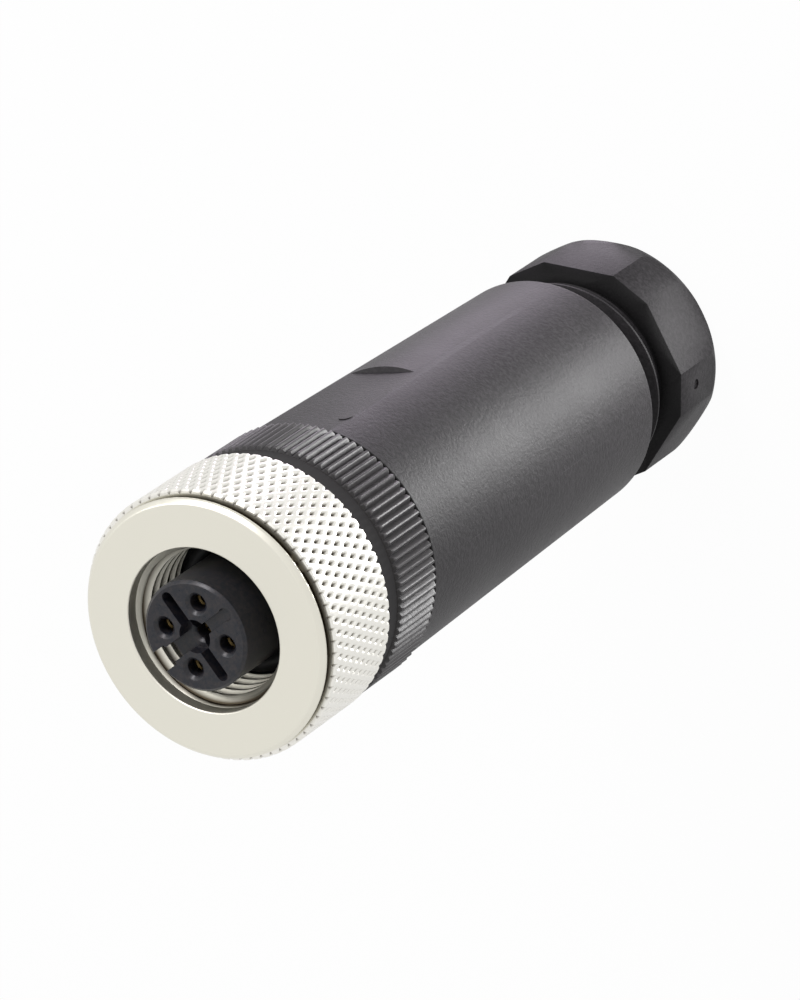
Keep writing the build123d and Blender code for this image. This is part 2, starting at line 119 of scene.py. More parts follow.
class NutSettings(bpy.types.PropertyGroup):
    """Sizes of the knurled coupling nut."""

    face_radius: size("Face radius", 9.4, "Outer edge of the flat front face")
    rim_radius: size("Rim radius", 9.72, "Outside of the narrow rim ahead of the knurl")
    rim_length: size("Rim length", 0.55, "Length of the rim behind the face")
    groove_width: size("Groove width", 0.4, "Width of the groove between rim and knurl")
    groove_depth: size("Groove depth", 0.35, "Depth of that groove below the rim")
    mouth_radius: size("Mouth radius", 6.24, "Edge of the mouth in the face")
    counterbore_radius: size("Counterbore radius", 6.16, "Smooth bore ahead of the thread")
    counterbore_length: size("Counterbore length", 1.0, "Depth at which the thread starts")
    thread_crest: size("Thread crest", 5.46, "Inner radius of the coupling thread")
    thread_root: size("Thread root", 6.0, "Outer radius of the coupling thread")
    thread_pitch: size("Thread pitch", 1.0, "Pitch of the coupling thread")
    room_radius: size("Ring room radius", 7.2, "Room for the retaining ring")
    room_front: size("Ring room front", 3.8, "Front of that room, from the tail's end")
    room_back: size("Ring room back", 2.2, "Back of that room, from the tail's end")
    neck_bore: size("Neck bore", 6.58, "Bore that runs on the collar's neck")
    tail_radius: size("Tail radius", 8.2, "Part that enters the collar")
    tail_length: size("Tail length", 1.7, "Length of that part")
    knurl_chamfer: size("Knurl chamfer", 0.12, "Bevel at both ends of the knurl")
    knurl_depth: size("Knurl depth", 0.3, "Depth of the pits in the knurl")
    knurl_row: size("Knurl row", 0.845, "Step from one row of pits to the next")
    knurl_starts: count("Knurl starts", 70, "Ridges of each hand round the nut")
    knurl_ridge: share("Ridge share", 0.42, "Share of each cell that is flat ridge")
    edge: size("Edge", 0.07, "Rounding of turned edges")
    turning_step: size("Turning step", 0.09, "Step of the fine marks left by turning")


class CollarSettings(bpy.types.PropertyGroup):
    """Sizes of the ribbed collar."""

    rib_crest: size("Rib crest", 10.0, "Outside of the ribs")
    rib_depth: size("Rib depth", 0.32, "Depth of the gaps between ribs")
    rib_count: count("Ribs", 100, "Ribs round the collar")
    rib_ridge: share("Rib ridge share", 0.25, "Share of each rib that is flat on top")
    rib_length: size("Rib length", 5.0, "Length of the ribs")
    rib_bevel: size("Rib bevel", 0.34, "Bevel where the ribs end")
    front_slope: number("Rib front slope", 2.5, "How steeply the ribs rise in front")
    back_slope: number("Rib back slope", 6.0, "How steeply the ribs rise behind")
    flange_radius: size("Flange radius", 9.62, "Flange ahead of the ribs")
    flange_front: size("Flange front radius", 9.15, "Front edge of the flange")
    recess_radius: size("Recess radius", 8.4, "Recess for the nut's tail")
    recess_depth: size("Recess depth", 1.5, "Depth of that recess")
    nut_gap: size("Nut gap", 0.15, "Gap between the recess's floor and the nut")
    neck_radius: size("Neck radius", 6.5, "Neck that the nut turns on")
    ring_groove_depth: size("Ring groove depth", 0.45, "Groove for the retaining ring")
    ring_groove_back: size("Ring groove back", 0.5, "From the groove's front to the neck's end")
    ring_groove_length: size("Ring groove length", 0.9, "Width of that groove")
    nose_bore: size("Nose bore", 4.1, "Bore round the contact nose")
    lip_length: size("Lip length", 0.8, "Length of that bore")
    cup_bore: size("Cup bore", 5.45, "Bore round the terminal block's cup")
    cup_length: size("Cup length", 4.1, "Length of that bore")
    block_bore: size("Block bore", 7.1, "Bore round the terminal block")
    thread_crest: size("Thread crest", 8.3, "Outside of the thread that enters the sleeve")
    thread_depth: size("Thread depth", 0.5, "Depth of that thread")
    thread_pitch: size("Thread pitch", 1.0, "Pitch of that thread")
    thread_length: size("Thread length", 3.0, "Length of that threaded end")
    seal_groove_front: size("Seal groove front", 0.3, "From the ribs back to the seal's groove")
    seal_groove_width: size("Seal groove width", 0.73, "Width of the seal's groove")
    seal_groove_depth: size("Seal groove depth", 0.7, "Depth of the seal's groove")
    edge: size("Edge", 0.06, "Rounding of moulded edges")


class SleeveSettings(bpy.types.PropertyGroup):
    """Sizes of the tapered sleeve."""

    front_radius: size("Front radius", 9.77, "Outside at the collar")
    rear_radius: size("Rear radius", 9.14, "Outside at the gland nut")
    front_edge: size("Front edge", 0.22, "Rounding of the front edge")
    rear_edge: size("Rear edge", 0.3, "Rounding of the rear edge")
    front_bore: size("Front bore", 8.36, "Thread for the collar")
    front_bore_length: size("Front bore length", 3.4, "Length of that thread")
    cavity_radius: size("Cavity radius", 7.6, "Wiring room")
    throat_radius: size("Throat radius", 5.2, "Narrowest bore, ahead of the gland")
    throat_front: size("Throat front", 17.75, "From the sleeve's rear face")
    throat_back: size("Throat back", 16.95, "From the sleeve's rear face")
    cone_back: size("Cone back", 15.45, "From the sleeve's rear face")
    basket_bore: size("Basket bore", 7.2, "Bore round the clamping basket")
    rear_bore: size("Rear bore", 8.06, "Thread for the gland nut")
    rear_bore_length: size("Rear bore length", 8.05, "Length of that thread")
    flat_depth: size("Flat depth", 0.64, "Depth of the spanner flats")
    flat_length: size("Flat length", 13.0, "Length of the spanner flats")
    flat_angle: angle("Flat angle", 61.0, "Middle of the first flat, from the keyway")
    flat_slope: angle("Flat slope", 32.0, "How far the flats' rear ends lean outwards")
    flat_edge: size("Flat edge", 0.06, "Rounding round the flats")
    edge_limit: angle("Edge limit", 22.0, "Edges that turn by more than this are rounded")
    mark_radius: size("Mark radius", 0.5, "Small raised disc left by an ejector pin")
    mark_height: size("Mark height", 0.07, "Height of that disc")
    mark_back: size("Mark back", 3.07, "From the sleeve's front face to the mark")
    mark_aside: size("Mark aside", 2.8, "From the middle of the flat to the mark")
    seam_angle: angle("Seam angle", 144.4, "Place of the faint mould seam")
    seam_width: size("Seam width", 0.09, "Half the width of that seam")


class GlandSettings(bpy.types.PropertyGroup):
    """Sizes of the gland nut."""

    corner_radius: size("Corner radius", 9.05, "Corners of the twelve-sided head")
    flat_half_angle: angle("Flat half angle", 19.2, "Half the angle that a long facet spans")
    flat_angle: angle("Flat angle", 48.3, "Middle of the first long facet")
    flat_count: count("Long facets", 6, "Long facets round the head")
    head_length: size("Head length", 7.0, "Length of the head")
    rear_round: size("Rear round", 2.4, "Rounding of the rear edge")
    edge: size("Edge", 0.1, "Rounding of the facets' edges")
    edge_limit: angle("Edge limit", 14.0, "Edges that turn by more than this are rounded")
    cable_bore: size("Cable bore", 4.3, "Bore for the cable")
    mouth_round: size("Mouth round", 0.7, "Bevel of the cable's mouth")
    spigot_bore: size("Spigot bore", 5.2, "Bore of the threaded spigot")
    thread_crest: size("Thread crest", 8.0, "Outside of the spigot's thread")
    thread_depth: size("Thread depth", 0.85, "Depth of the spigot's thread")
    thread_pitch: size("Thread pitch", 1.5, "Pitch of the spigot's thread")
    thread_turn: share("Thread turn", 0.0, "Where the thread starts, as a share of a turn")
    relief_length: size("Relief length", 0.5, "Plain stretch between head and thread")
    pit_radius: size("Pit radius", 0.4, "Small gate pit on a short facet")
    pit_depth: size("Pit depth", 0.3, "Depth of that pit")
    pit_height: size("Pit height", 4.5, "Height of the pit above the rear face")
    pit_angle: angle("Pit angle", 138.5, "Place of the pit round the head")


class NoseSettings(bpy.types.PropertyGroup):
    """Finish of the contact nose."""

    edge: size("Edge", 0.05, "Rounding of the nose's edges")
    edge_limit: angle("Edge limit", 40.0, "Edges that turn by more than this are rounded")
    flat_limit: angle("Flat limit", 0.4, "Faces that turn by less than this are joined")


class StageSettings(bpy.types.PropertyGroup):
    """Camera, lamps and floor."""

    place: bpy.props.FloatVectorProperty(
        name="Camera place", description="Where the camera stands", default=(-0.28715, 0.00587, 0.4105),
        subtype="TRANSLATION", unit="LENGTH",
    )
    heading: angle("Heading", -1.119, "Direction of view round the vertical, from +X")
    pitch: angle("Pitch", -52.639, "Direction of view above the horizon")
    roll: angle("Roll", 124.538, "Roll of the camera about its view")
    lens: bpy.props.FloatProperty(
        name="Lens", description="Focal length on a 36 mm long side", default=234.0, unit="CAMERA"
    )
    lamp_aim: size("Lamp aim", 34, "Height on the connector's axis that the soft lamps shine at")
    floor_radius: size("Floor radius", 900, "Reach of the pale floor")
    background: share("Background", 0.97, "Share of the floor that is plain white to the eye")
    ambient: share("Ambient", 0.4, "Level of the light from all round")
    panel_start: size("Panel start", 0.3, "From the sleeve's foot to the nearest light panel")
    panel_length: size("Panel length", 3, "Length of the nearest light panel")
    panel_growth: number("Panel growth", 1.5, "How many times longer each further panel is")
    panel_width: size("Panel width", 5, "Width of a row of panels at the foot")
    panel_count: count("Panels", 5, "Light panels in each row")
    panel_lift: size("Panel lift", 0.3, "Height of the light panels above the floor")


class FinishSettings(bpy.types.PropertyGroup):
    """Colours of the finishes."""

    nickel: colour("Nickel", 0.735, 0.715, 0.63, "Satin nickel plate")
    # Painted sheen: the knurl is drawn lighter than the face, to stand in for the light it catches.
    knurl: colour("Knurl", 0.81, 0.795, 0.745, "Brighter plate on the knurl")
    # Painted shade: the colour that knurl pits, the groove behind the rim and the nut's thread flanks turn
    # to, standing in for shade in those hollows.
    painted_pit_shade: colour("Nickel pits", 0.085, 0.068, 0.046, "Nickel deep in the knurl's pits")
    sleeve: colour("Sleeve", 0.014, 0.0125, 0.014, "Black moulding of sleeve and gland nut")
    sleeve_fleck: colour("Sleeve fleck", 0.033, 0.030, 0.033, "Lighter specks in it")
    collar: colour("Collar", 0.030, 0.026, 0.028, "Black moulding of the ribbed collar")
    nose: colour("Nose", 0.010, 0.012, 0.018, "Blue-black moulding of the nose")
    gold: colour("Contacts", 0.24, 0.17, 0.07, "Gold-flashed brass")
    steel: colour("Steel", 0.55, 0.55, 0.56, "Bright steel")
    rubber: colour("Rubber", 0.015, 0.015, 0.016, "Seals")
    natural: colour("Natural plastic", 0.55, 0.54, 0.50, "Thrust ring")
    basket: colour("Basket", 0.06, 0.06, 0.065, "Clamping basket")
    floor: colour("Floor", 0.92, 0.92, 0.92, "Pale floor")


SETTINGS = {
    "nut": NutSettings,
    "collar": CollarSettings,
    "sleeve": SleeveSettings,
    "gland": GlandSettings,
    "nose": NoseSettings,
    "stage": StageSettings,
    "finish": FinishSettings,
}


def settings(name):
    """The property group of that name on the scene."""
    return getattr(bpy.context.scene, "connector_" + name)


class Value:
    """A node's output in an expression: each operator adds a Math node to its tree."""

    def __init__(self, graph, socket):
        self.graph = graph
        self.socket = socket

    def math(self, operation, first, second=None, clamp=False):
        inputs = {0: first} if second is None else {0: first, 1: second}
        return self.graph.add("ShaderNodeMath", {"operation": operation, "use_clamp": clamp}, inputs)

    def __add__(self, other):
        return self.math("ADD", self, other)

    def __radd__(self, other):
        return self.math("ADD", other, self)

    def __sub__(self, other):
        return self.math("SUBTRACT", self, other)

    def __rsub__(self, other):
        return self.math("SUBTRACT", other, self)

    def __mul__(self, other):
        return self.math("MULTIPLY", self, other)

    def __rmul__(self, other):
        return self.math("MULTIPLY", other, self)

    def __truediv__(self, other):
        return self.math("DIVIDE", self, other)

    def __rtruediv__(self, other):
        return self.math("DIVIDE", other, self)

    def __abs__(self):
        return self.math("ABSOLUTE", self)

    def fraction(self):
        return self.math("FRACT", self)

    def least(self, other):
        return self.math("MINIMUM", self, other)

    def most(self, other):
        return self.math("MAXIMUM", self, other)

    def above(self, limit):
        """1 where the value is over the limit, else 0."""
        return self.math("GREATER_THAN", self, limit)

    def within(self):
        """The value held between 0 and 1."""
        return self.math("ADD", self, 0.0, clamp=True)

    def sine(self):
        return self.math("SINE", self)

    def cosine(self):
        return self.math("COSINE", self)

    def root(self):
        return self.math("SQRT", self)


class Graph:
    """Adds nodes to a shader or geometry tree."""

    def __init__(self, tree):
        self.tree = tree

    def feed(self, socket, value):
        """Links a value to a socket, or sets it there."""
        if isinstance(value, Value):
            self.tree.links.new(value.socket, socket)
        else:
            socket.default_value = value

    def node(self, kind, choices=None, inputs=None):
        """A node of that kind with its choices made first, then its sockets fed."""
        node = self.tree.nodes.new(kind)
        for key, value in (choices or {}).items():
            setattr(node, key, value)
        for key, value in (inputs or {}).items():
            self.feed(node.inputs[key], value)
        return node

    def add(self, kind, choices=None, inputs=None, output=0):
        """The value that a new node of that kind gives."""
        return Value(self, self.node(kind, choices, inputs).outputs[output])

    def vector(self, x, y, z):
        return self.add("ShaderNodeCombineXYZ", None, {0: x, 1: y, 2: z})

    def parts(self, vector):
        """The three components of a vector."""
        split = self.node("ShaderNodeSeparateXYZ", None, {0: vector})
        return [Value(self, socket) for socket in split.outputs]

    def blend(self, factor, first, second):
        """Two colours mixed by a factor."""
        pair = [c if isinstance(c, Value) else (*c, 1) for c in (first, second)]
        return self.add("ShaderNodeMix", {"data_type": "RGBA"}, {0: factor, 6: pair[0], 7: pair[1]}, 2)


def mesh_object(name, vertices, faces):
    """A linked object of that mesh."""
    mesh = bpy.data.meshes.new(name)
    mesh.from_pydata(vertices, [], faces)
    mesh.update()
    piece = bpy.data.objects.new(name, mesh)
    bpy.context.scene.collection.objects.link(piece)
    return piece


def rounded(corners, steps=4):
    """Points of a profile whose corners (radius, height, rounding) turn in short curves."""
    points = []
    for place, (radius, height, rounding) in enumerate(corners):
        here = Vector((radius, height))
        if rounding == 0 or place in (0, len(corners) - 1):
            points.append(here)
            continue
        back = Vector(corners[place - 1][:2]) - here
        ahead = Vector(corners[place + 1][:2]) - here
        tangent = rounding / tan(back.angle(ahead) / 2)
        reach = min(tangent, CURVE_SHARE * back.length, CURVE_SHARE * ahead.length)
        start = here + back.normalized() * reach
        end = here + ahead.normalized() * reach
        for step in range(steps + 1):
            part = step / steps
            points.append(start.lerp(here, part).lerp(here.lerp(end, part), part))
    return points


def shell(rings, closed=False):
    """Vertices and faces through rings (radius, height, columns) about Z."""
    vertices = []
    starts = []
    for radius, height, columns in rings:
        starts.append(len(vertices))
        if radius == 0:
            vertices.append((0, 0, height))
            continue
        for column in range(columns):
            turn = 2 * pi * column / columns
            vertices.append((radius * cos(turn), radius * sin(turn), height))
    faces = []
    pairs = list(zip(range(len(rings) - 1), range(1, len(rings))))
    if closed:
        pairs.append((len(rings) - 1, 0))
    for low, high in pairs:
        faces += band_faces(rings[low], starts[low], rings[high], starts[high])
    return vertices, faces


def band_faces(low, low_start, high, high_start):
    """Faces between two rings, of which one may be a pole or have a multiple of the columns."""
    low_count = 1 if low[0] == 0 else low[2]
    high_count = 1 if high[0] == 0 else high[2]
    faces = []
    for cell in range(min(c for c in (low_count, high_count) if c > 1)):
        lower = ring_run(low_start, low_count, cell, max(low_count, high_count), high_count)
        upper = ring_run(high_start, high_count, cell, max(low_count, high_count), low_count)
        faces.append(lower + upper[::-1])
    return faces


def ring_run(start, own, cell, most, other):
    """The vertices of a ring that one cell of the band touches."""
    if own == 1:
        return [start]
    step = own // other if own == most and other > 1 else 1
    return [start + (cell * step + extra) % own for extra in range(step + 1)]


def mark_painted_shade(piece, is_deep):
    """Marks the deep places of a mesh as the relief trees mark theirs, which plated metal shows as painted
    shade.
    """
    marks = piece.data.attributes.new("depth", "FLOAT", "POINT")
    for mark, vertex in zip(marks.data, piece.data.vertices):
        mark.value = float(is_deep(vertex.co))


def rings(points, columns):
    """Rings (radius, height, columns) through the points of a profile."""
    return [(point.x, point.y, columns) for point in points]


def turned(name, points, columns, closed=True):
    """An object of revolution through the points of a profile."""
    return mesh_object(name, *shell(rings(points, columns), closed))


def open_shells(name, *runs):
    """An object of several open shells, each through its own run of rings."""
    vertices = []
    faces = []
    for run in runs:
        more, more_faces = shell(run)
        faces += [[index + len(vertices) for index in corners] for corners in more_faces]
        vertices += more
    return mesh_object(name, vertices, faces)


@contextmanager
def edited(piece):
    """The piece's mesh, open for mesh operations and written back after them."""
    mesh = bmesh.new()
    mesh.from_mesh(piece.data)
    yield mesh
    mesh.to_mesh(piece.data)
    mesh.free()


def apply_modifiers(piece):
    """Turns what the modifiers make into the piece's own plain mesh."""
    bpy.context.view_layer.update()
    graph = bpy.context.evaluated_depsgraph_get()
    plain = bpy.data.meshes.new_from_object(piece.evaluated_get(graph))
    piece.modifiers.clear()
    old = piece.data
    piece.data = plain
    bpy.data.meshes.remove(old)
    plain.name = piece.name


def settle(piece):
    """Applies the modifiers and shades the mesh smooth but for its sharp edges."""
    apply_modifiers(piece)
    piece.data.shade_smooth()
    piece.data.set_sharp_from_angle(angle=SHARP_ANGLE)


def even_shading(piece):
    """Lets flat faces keep their own direction beside rounded edges."""
    modifier = piece.modifiers.new("shading", "WEIGHTED_NORMAL")
    modifier.keep_sharp = True
    apply_modifiers(piece)


def drop_slivers(piece):
    """Merges doubled corners and takes out faces without area, which cuts leave behind."""
    with edited(piece) as mesh:
        bmesh.ops.remove_doubles(mesh, verts=mesh.verts, dist=MERGE_DISTANCE)
        bmesh.ops.dissolve_degenerate(mesh, dist=MERGE_DISTANCE, edges=mesh.edges)
        wide = [face for face in mesh.faces if len(face.verts) > 4]
        bmesh.ops.triangulate(mesh, faces=wide, ngon_method="BEAUTY")
        bmesh.ops.dissolve_degenerate(mesh, dist=MERGE_DISTANCE, edges=mesh.edges)


def combine(piece, other, operation):
    """Cuts, joins or intersects two closed pieces and removes the second."""
    modifier = piece.modifiers.new(operation.lower(), "BOOLEAN")
    modifier.operation = operation
    modifier.solver = "EXACT"
    modifier.object = other
    settle(piece)
    bpy.data.objects.remove(other)


def soften(piece, width, limit, steps=2):
    """Rounds the edges that turn by more than the limit."""
    modifier = piece.modifiers.new("edges", "BEVEL")
    modifier.width = width
    modifier.segments = steps
    modifier.limit_method = "ANGLE"
    modifier.angle_limit = limit
    modifier.use_clamp_overlap = True
    settle(piece)


def flat_block(inside, reach, bottom, top, slope, turn):
    """A block that cuts a flat: its lower end slopes outwards from the flat."""
    side = [(inside, bottom), (reach, bottom - (reach - inside) * tan(slope)), (reach, top), (inside, top)]
    vertices = [(x, y, z) for y in (-reach, reach) for x, z in side]
    faces = [[0, 1, 2, 3], [7, 6, 5, 4]]
    faces += [[i, i + 4, (i + 1) % 4 + 4, (i + 1) % 4] for i in range(4)]
    piece = mesh_object("flat_block", vertices, faces)
    piece.data.transform(Matrix.Rotation(turn, 4, "Z"))
    return piece


def radial_pin(name, radius, low, high, height, turn, sideways=0.0):
    """A round pin that lies along a radius, or beside it, between two distances from the axis."""
    place = (
        Matrix.Rotation(turn, 4, "Z")
        @ Matrix.Translation(((low + high) / 2, sideways, height))
        @ Matrix.Rotation(pi / 2, 4, "Y")
    )
    piece = mesh_object(name, [], [])
    with edited(piece) as mesh:
        bmesh.ops.create_cone(
            mesh, cap_ends=True, segments=PIN_COLUMNS, radius1=radius, radius2=radius,
            depth=high - low, matrix=place,
        )
    return piece


def set_piece(piece, material, body, slot, *nodes):
    """Puts a finished piece on its body in place of those nodes."""
    even_shading(piece)
    give(piece, material)
    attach(piece, body)
    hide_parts(*nodes)


def give(piece, material):
    """Makes that the piece's only material."""
    piece.data.materials.clear()
    piece.data.materials.append(material)


def relief_tree(name, numbers, surface):
    """A tree that adds one band of repeated relief round Z to the incoming shell.

    surface(graph, ins, across, up) gives radius, height, turn and the depth that sets the painted shade of
    plated metal.
    """
    tree = bpy.data.node_groups.new(name, "GeometryNodeTree")
    tree.interface.new_socket(name="Shell", in_out="INPUT", socket_type="NodeSocketGeometry")
    for label in ("Columns", "Rows"):
        tree.interface.new_socket(name=label, in_out="INPUT", socket_type="NodeSocketInt")
    for label in numbers:
        tree.interface.new_socket(name=label, in_out="INPUT", socket_type="NodeSocketFloat")
    tree.interface.new_socket(name="Finish", in_out="INPUT", socket_type="NodeSocketMaterial")
    tree.interface.new_socket(name="Shell", in_out="OUTPUT", socket_type="NodeSocketGeometry")
    graph = Graph(tree)
    entry = graph.node("NodeGroupInput")
    ins = {socket.name: Value(graph, socket) for socket in entry.outputs if socket.name}
    grid = graph.add("GeometryNodeMeshGrid", None, {
        "Size X": 1.0, "Size Y": 1.0,
        "Vertices X": ins["Columns"] + 1, "Vertices Y": ins["Rows"] + 1,
    })
    place = graph.parts(graph.add("GeometryNodeInputPosition"))
    radius, height, turn, depth = surface(graph, ins, place[0] + 0.5, place[1] + 0.5)
    # The stored depth sets the painted shade of plated metal in the band's hollows.
    marked = graph.add(
        "GeometryNodeStoreNamedAttribute", {"data_type": "FLOAT", "domain": "POINT"},
        {"Geometry": grid, "Name": "depth", "Value": depth},
    )
    round_place = graph.vector(
        radius * (turn * (2 * pi)).cosine(), radius * (turn * (2 * pi)).sine(), height
    )
    band = graph.add("GeometryNodeSetPosition", None, {"Geometry": marked, "Position": round_place})
    join = graph.node("GeometryNodeJoinGeometry", None, {0: band})
    graph.feed(join.inputs[0], ins["Shell"])
    joined = Value(graph, join.outputs[0])
    sealed = graph.add(
        "GeometryNodeMergeByDistance", None, {"Geometry": joined, "Distance": MERGE_DISTANCE}
    )
    real = graph.add("GeometryNodeRealizeInstances", None, {"Geometry": sealed})
    done = graph.add("GeometryNodeSetMaterial", None, {"Geometry": real, "Material": ins["Finish"]})
    graph.node("NodeGroupOutput", None, {0: done})
    return tree


def add_relief(piece, tree, material, columns, rows, **numbers):
    """Puts a relief tree on a piece with its numbers set by their sockets' identifiers."""
    modifier = piece.modifiers.new(tree.name, "NODES")
    modifier.node_group = tree
    wanted = {"Columns": columns, "Rows": rows, "Finish": material}
    wanted.update({key.replace("_", " ").capitalize(): value for key, value in numbers.items()})
    for item in tree.interface.items_tree:
        if item.in_out == "INPUT" and item.name in wanted:
            modifier[item.identifier] = wanted[item.name]


def knurl_surface(graph, ins, across, up):
    """Two hands of ridges round a cylinder with pits between them, bevelled at both ends.

    The first and last rows lie on the shell's rings, and close the pits' ends with square walls.
    """
    row = up * ins["Rows"]
    from_end = row.least(ins["Rows"] - row).within()
    length = ins["End"] - ins["Start"]
    height = ins["Start"] + ((row - 1) / (ins["Rows"] - 2)).within() * length
    along = (height - ins["Start"]) / (ins["Row"] * 2)
    round_it = across * ins["Starts"]

    def hollow(place):
        from_ridge = 1 - abs(place.fraction() * 2 - 1)
        return ((from_ridge - ins["Ridge"]) / (1 - ins["Ridge"])).within()

    pit = hollow(round_it + along + WHOLE_TURNS).least(hollow(round_it - along + WHOLE_TURNS))
    bevel = ins["Crest"] - ins["Chamfer"] + (height - ins["Start"]).least(ins["End"] - height)
    radius = (ins["Crest"] - ins["Depth"] * pit).least(bevel)
    return ins["Ring"] + (radius - ins["Ring"]) * from_end, height, across, pit * from_end


def rib_surface(graph, ins, across, up):
    """Straight ribs round a cylinder, steep behind and bevelled in front, with finer rows at the ends."""
    height = ins["Start"] + (ins["End"] - ins["Start"]) * up * up * (3 - up * 2)
    from_ridge = 1 - abs((across * ins["Count"]).fraction() * 2 - 1)
    gap = ((from_ridge - ins["Ridge"]) / (1 - ins["Ridge"])).within()
    front = ins["Crest"] - ins["Bevel"] + (ins["End"] - height) * ins["Front slope"]
    back = ins["Crest"] - ins["Bevel"] + (height - ins["Start"]) * ins["Back slope"]
    radius = (ins["Crest"] - ins["Depth"] * gap).least(front).least(back)
    return radius, height, across, gap


def thread_surface(graph, ins, across, up):
    """A right-handed screw thread whose rows run along its helix, bevelled at both ends."""
    side = ins["Side"]
    turn = across * side
    climb = ins["Pitch"] * (turn + (1 - side) / 2)
    free = ins["Start"] - ins["Pitch"] + up * ins["Run"] + climb
    height = free.most(ins["Start"]).least(ins["End"])
    from_crest = abs((height / ins["Pitch"] - turn + ins["Phase"] + WHOLE_TURNS).fraction() * 2 - 1)
    crest_flat = CREST_FLAT + (1 - side) / 2 * BORE_FLAT_MORE
    flank = ((from_crest - crest_flat) / FLANK).within()
    profile = side * ins["Crest"] - ins["Depth"] * flank
    start_limit = side * ins["Start radius"] + (height - ins["Start"])
    end_limit = side * ins["End radius"] + (ins["End"] - height)
    radius = side * profile.least(start_limit).least(end_limit)
    return radius, height, turn, flank


def relief(kind):
    """One of the three relief trees, made on first use."""
    kinds = {
        "diamond knurl": (
            ("Crest", "Depth", "Start", "End", "Row", "Starts", "Ridge", "Chamfer", "Ring"),
            knurl_surface,
        ),
        "straight ribs": (
            ("Crest", "Depth", "Start", "End", "Count", "Ridge", "Bevel", "Front slope", "Back slope"),
            rib_surface,
        ),
        "screw thread": (
            (
                "Crest", "Depth", "Start", "End", "Pitch", "Run", "Side", "Phase",
                "Start radius", "End radius",
            ),
            thread_surface,
        ),
    }
    if kind in bpy.data.node_groups:
        return bpy.data.node_groups[kind]
    numbers, surface = kinds[kind]
    return relief_tree(kind, numbers, surface)


def add_thread(piece, material, columns, start, end, side, start_radius, end_radius, **numbers):
    """A thread between two heights: side is 1 outside and -1 in a bore."""
    pitch = numbers["pitch"]
    rows = ceil((end - start) / pitch * THREAD_ROWS) + THREAD_ROWS
    add_relief(
        piece, relief("screw thread"), material, columns, rows, start=start, end=end, side=float(side),
        run=rows * pitch / THREAD_ROWS, start_radius=start_radius, end_radius=end_radius, **numbers,
    )


def new_material(name):
    """An empty material and its graph."""
    material = bpy.data.materials.new(name)
    material.use_nodes = True
    material.node_tree.nodes.clear()
    return material, Graph(material.node_tree)


def surface_noise(graph, scale, detail, roughness=0.6):
    """Noise that is fixed to the piece."""
    place = graph.add("ShaderNodeTexCoord", None, None, 3)
    return graph.add("ShaderNodeTexNoise", None, {
        "Vector": place, "Scale": scale, "Detail": detail, "Roughness": roughness,
    })


def uneven(level, *noises):
    """A level that each noise moves up and down by at most half its share."""
    return level + sum((noise - 0.5) * part for noise, part in noises)


def close_shader(graph, plain, base, rough, height, bump, reach):
    """Ends a material in a Principled shader with its colour, roughness and bump."""
    normal = graph.add(
        "ShaderNodeBump", None, {"Strength": bump, "Distance": reach, "Height": height}
    )
    shader = graph.add("ShaderNodeBsdfPrincipled", None, {
        "Base Color": base, "Roughness": rough, "Normal": normal, **plain,
    })
    graph.node("ShaderNodeOutputMaterial", None, {"Surface": shader})


def moulded(name, base, fleck, rough, grain=3200.0, bump=1.0, seam=None, gloss=0.42, dark=()):
    """A moulded black plastic with fine grain, small lighter flecks and a soft unevenness.

    The seam is the place of a mould line. dark lists heights and how much painted shade darkens it above
    each.
    """
    fleck_start, fleck_contrast = 0.4, 4
    soft_coarser, soft_height, seam_depth, matt_share = 20, 0.5, 0.25, 0.25
    material, graph = new_material(name)
    fine = surface_noise(graph, grain, detail=4.0, roughness=0.65)
    soft = surface_noise(graph, grain / soft_coarser, detail=2.0)
    flecks = ((fine - fleck_start) * fleck_contrast).within()
    colour_now = graph.blend(flecks, tuple(base), tuple(fleck))
    height = fine + soft * soft_height
    if seam is not None:
        place = graph.parts(graph.add("ShaderNodeTexCoord", None, None, 3))
        sideways = place[1] * cos(seam) - place[0] * sin(seam)
        outward = place[0] * cos(seam) + place[1] * sin(seam)
        line = (1 - abs(sideways) / settings("sleeve").seam_width).within() * outward.above(0)
        height = height - line * seam_depth
    rough_now = uneven(rough, (fine, 0.2), (soft, 0.1))
    # Painted shade: darker and more matt above the listed heights, for shade in gaps and behind edges.
    if dark:
        up = graph.parts(graph.add("ShaderNodeTexCoord", None, None, 3))[2]
        painted_shade = sum(up.above(level) * change for level, change in dark)
        colour_now = graph.blend(painted_shade, colour_now, (0.0, 0.0, 0.0))
        rough_now = (rough_now + painted_shade * matt_share).within()
    plain = {"Specular IOR Level": gloss}
    close_shader(graph, plain, colour_now, rough_now, height, bump, reach=0.045 * MM)
    return material


